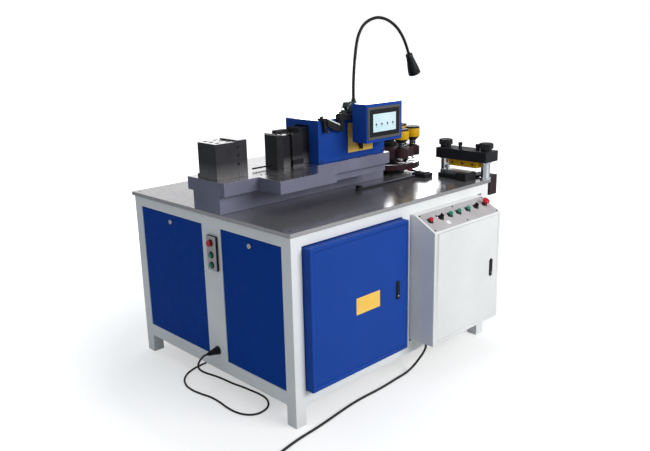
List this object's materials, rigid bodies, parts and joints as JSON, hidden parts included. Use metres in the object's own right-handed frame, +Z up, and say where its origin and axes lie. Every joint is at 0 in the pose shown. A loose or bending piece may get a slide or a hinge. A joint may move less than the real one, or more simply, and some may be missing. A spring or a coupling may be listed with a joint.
{
  "type": "busbar processing machine",
  "caption": "Floor-standing busbar processing machine with a bending press, turret punch, shear, work lamp, screen, tool cupboard and electrical cabinet.",
  "frame": {"origin": "middle of the machine's bounding box on the floor, measured without its free cords", "axes": "+X along the table to the right as seen from the operator's side, +Y from the operator's side to the back, +Z up"},
  "size_m": [1.8904, 1.5494, 1.8059],
  "materials": {
    "frame_white": "white powder coat, slightly textured",
    "panel_navy": "deep blue powder coat",
    "bright_steel": "polished steel",
    "table_steel": "ground steel plate",
    "station_grey": "grey enamel",
    "button_red": "gloss red plastic",
    "button_green": "gloss green plastic",
    "black_plastic": "moulded black plastic",
    "cover_blue": "bright blue enamel",
    "cabinet_white": "off-white powder coat",
    "bed_steel": "machined grey steel",
    "black_oxide": "blackened steel, oiled",
    "lamp_black": "black lacquer",
    "turret_brown": "dark brown oxide steel",
    "sleeve_yellow": "yellow sleeve on a dark steel punch",
    "column_steel": "ground steel",
    "holder_olive": "yellow passivated steel",
    "pedal_yellow": "yellow enamel",
    "cord_rubber": "black rubber sheath"
  },
  "bodies": {
    "machine": {"frame": "frame_white", "left_panel_rear": "panel_navy", "left_panel_front": "panel_navy", "right_panel": "panel_navy", "back_panel": "panel_navy", "tabletop": "table_steel", "button_station": "station_grey", "pedal_socket": "black_plastic", "pedal_plug": "black_plastic", "toolbox_body": "cover_blue", "cabinet_body": "cabinet_white", "bed": "bed_steel", "die_block": "black_oxide", "die_plate": "black_oxide", "ram_housing": "cover_blue", "bend_cylinder": "station_grey", "hmi_box": "cover_blue", "lamp_neck": "lamp_black", "turret_pedestal": "black_oxide", "shear_base": "black_oxide", "tie_column_front": "column_steel", "tie_column_rear": "column_steel", "crosshead": "black_oxide", "blade_holder": "holder_olive", "fence_bar": "black_oxide", "power_pack": "station_grey", "pedal_base": "pedal_yellow", "pedal_cord": "cord_rubber", "mains_cord": "cord_rubber", "mains_cord_coil": "cord_rubber"},
    "rear_panel_lock": {"panel_lock_rear": "bright_steel"},
    "front_panel_lock": {"panel_lock_front": "bright_steel"},
    "station_stop_cap": {"station_stop": "button_red"},
    "station_upper_cap": {"station_start_upper": "button_green"},
    "station_lower_cap": {"station_start_lower": "button_green"},
    "cupboard_door": {"toolbox_door": "cover_blue"},
    "cupboard_lock": {"toolbox_lock": "black_plastic"},
    "electrical_door": {"cabinet_door": "cabinet_white"},
    "electrical_lock": {"cabinet_lock": "black_plastic"},
    "stop_cap": {"stop_button": "button_red"},
    "switch_knob": {"mains_switch": "black_plastic"},
    "green_cap_1": {"green_button_1": "button_green"},
    "green_cap_2": {"green_button_2": "button_green"},
    "green_cap_3": {"green_button_3": "button_green"},
    "mode_knob": {"selector_knob": "black_plastic"},
    "emergency_cap": {"emergency_stop": "button_red"},
    "ram": {"ram_head": "black_oxide", "punch_nose": "black_oxide"},
    "lamp_shade": {"lamp_head": "lamp_black"},
    "turret": {"turret_lower_disc": "turret_brown", "turret_upper_disc": "turret_brown"},
    "punch_unit_1": {"punch_1": "sleeve_yellow"},
    "punch_unit_2": {"punch_2": "sleeve_yellow"},
    "punch_unit_3": {"punch_3": "sleeve_yellow"},
    "punch_unit_4": {"punch_4": "sleeve_yellow"},
    "punch_unit_5": {"punch_5": "sleeve_yellow"},
    "punch_unit_6": {"punch_6": "sleeve_yellow"},
    "shear_blade": {"lower_blade": "bright_steel"},
    "length_stop": {"fence_stop": "black_oxide"},
    "treadle": {"pedal_treadle": "black_plastic"}
  },
  "joints": [
    {"name": "rear_panel_lock_turn", "type": "hinge", "parent": "machine", "child": "rear_panel_lock", "pos_m": [-0.76635, 0.3658, 0.808], "axis": [1, 0, 0], "range_deg": [0, 90]},
    {"name": "front_panel_lock_turn", "type": "hinge", "parent": "machine", "child": "front_panel_lock", "pos_m": [-0.76635, -0.2752, 0.808], "axis": [1, 0, 0], "range_deg": [0, 90]},
    {"name": "station_stop_push", "type": "slide", "parent": "machine", "child": "station_stop_cap", "axis": [1, 0, 0], "range_m": [0, 0.0045], "stiffness_N_per_m": 600},
    {"name": "station_upper_push", "type": "slide", "parent": "machine", "child": "station_upper_cap", "axis": [1, 0, 0], "range_m": [0, 0.004], "stiffness_N_per_m": 400},
    {"name": "station_lower_push", "type": "slide", "parent": "machine", "child": "station_lower_cap", "axis": [1, 0, 0], "range_m": [0, 0.004], "stiffness_N_per_m": 400},
    {"name": "cupboard_door_swing", "type": "hinge", "parent": "machine", "child": "cupboard_door", "pos_m": [-0.67885, -0.60235, 0.5], "axis": [0, 0, -1], "range_deg": [0, 110]},
    {"name": "cupboard_lock_turn", "type": "hinge", "parent": "cupboard_door", "child": "cupboard_lock", "pos_m": [-0.11978, -0.60235, 0.5253], "axis": [0, 1, 0], "range_deg": [0, 90]},
    {"name": "electrical_door_swing", "type": "hinge", "parent": "machine", "child": "electrical_door", "pos_m": [0.06665, -0.70735, 0.48], "axis": [0, 0, -1], "range_deg": [0, 110]},
    {"name": "electrical_lock_turn", "type": "hinge", "parent": "electrical_door", "child": "electrical_lock", "pos_m": [0.53265, -0.70735, 0.504], "axis": [0, 1, 0], "range_deg": [0, 90]},
    {"name": "stop_push", "type": "slide", "parent": "machine", "child": "stop_cap", "axis": [0, 0.488, -0.8729], "range_m": [0, 0.0025], "stiffness_N_per_m": 400, "springref_m": -0.001},
    {"name": "switch_turn", "type": "hinge", "parent": "machine", "child": "switch_knob", "pos_m": [0.16953, -0.64165, 0.8242], "axis": [0, -0.488, 0.8729], "range_deg": [0, 90]},
    {"name": "green_push_1", "type": "slide", "parent": "machine", "child": "green_cap_1", "axis": [0, 0.488, -0.8729], "range_m": [0, 0.0025], "stiffness_N_per_m": 400, "springref_m": -0.001},
    {"name": "green_push_2", "type": "slide", "parent": "machine", "child": "green_cap_2", "axis": [0, 0.488, -0.8729], "range_m": [0, 0.0025], "stiffness_N_per_m": 400, "springref_m": -0.001},
    {"name": "green_push_3", "type": "slide", "parent": "machine", "child": "green_cap_3", "axis": [0, 0.488, -0.8729], "range_m": [0, 0.0025], "stiffness_N_per_m": 400, "springref_m": -0.001},
    {"name": "mode_turn", "type": "hinge", "parent": "machine", "child": "mode_knob", "pos_m": [0.47461, -0.64165, 0.8242], "axis": [0, -0.488, 0.8729], "range_deg": [-45, 45]},
    {"name": "emergency_push", "type": "slide", "parent": "machine", "child": "emergency_cap", "axis": [0, 0.488, -0.8729], "range_m": [0, 0.0035], "stiffness_N_per_m": 600, "springref_m": -0.002},
    {"name": "ram_stroke", "type": "slide", "parent": "machine", "child": "ram", "axis": [-1, 0, 0], "range_m": [0, 0.165]},
    {"name": "lamp_tilt", "type": "hinge", "parent": "machine", "child": "lamp_shade", "pos_m": [0.64765, -0.03635, 1.5894], "axis": [0, 1, 0], "range_deg": [-20, 20]},
    {"name": "turret_index", "type": "hinge", "parent": "machine", "child": "turret", "pos_m": [0.55865, 0.04065, 1], "axis": [0, 0, 1], "continuous": true},
    {"name": "punch_stroke_1", "type": "slide", "parent": "turret", "child": "punch_unit_1", "axis": [0, 0, -1], "range_m": [0, 0.03], "stiffness_N_per_m": 2000, "springref_m": -0.015},
    {"name": "punch_stroke_2", "type": "slide", "parent": "turret", "child": "punch_unit_2", "axis": [0, 0, -1], "range_m": [0, 0.03], "stiffness_N_per_m": 2000, "springref_m": -0.015},
    {"name": "punch_stroke_3", "type": "slide", "parent": "turret", "child": "punch_unit_3", "axis": [0, 0, -1], "range_m": [0, 0.03], "stiffness_N_per_m": 2000, "springref_m": -0.015},
    {"name": "punch_stroke_4", "type": "slide", "parent": "turret", "child": "punch_unit_4", "axis": [0, 0, -1], "range_m": [0, 0.03], "stiffness_N_per_m": 2000, "springref_m": -0.015},
    {"name": "punch_stroke_5", "type": "slide", "parent": "turret", "child": "punch_unit_5", "axis": [0, 0, -1], "range_m": [0, 0.03], "stiffness_N_per_m": 2000, "springref_m": -0.015},
    {"name": "punch_stroke_6", "type": "slide", "parent": "turret", "child": "punch_unit_6", "axis": [0, 0, -1], "range_m": [0, 0.03], "stiffness_N_per_m": 2000, "springref_m": -0.015},
    {"name": "shear_stroke", "type": "slide", "parent": "machine", "child": "shear_blade", "axis": [0, 0, 1], "range_m": [0, 0.022]},
    {"name": "stop_slide", "type": "slide", "parent": "machine", "child": "length_stop", "axis": [1, 0, 0], "range_m": [0, 0.44]},
    {"name": "treadle_press", "type": "hinge", "parent": "machine", "child": "treadle", "pos_m": [-0.25935, 0.29365, 0.022], "axis": [0, -1, 0], "range_deg": [0, 3], "stiffness_Nm_per_rad": 3, "springref_deg": -5.73}
  ]
}
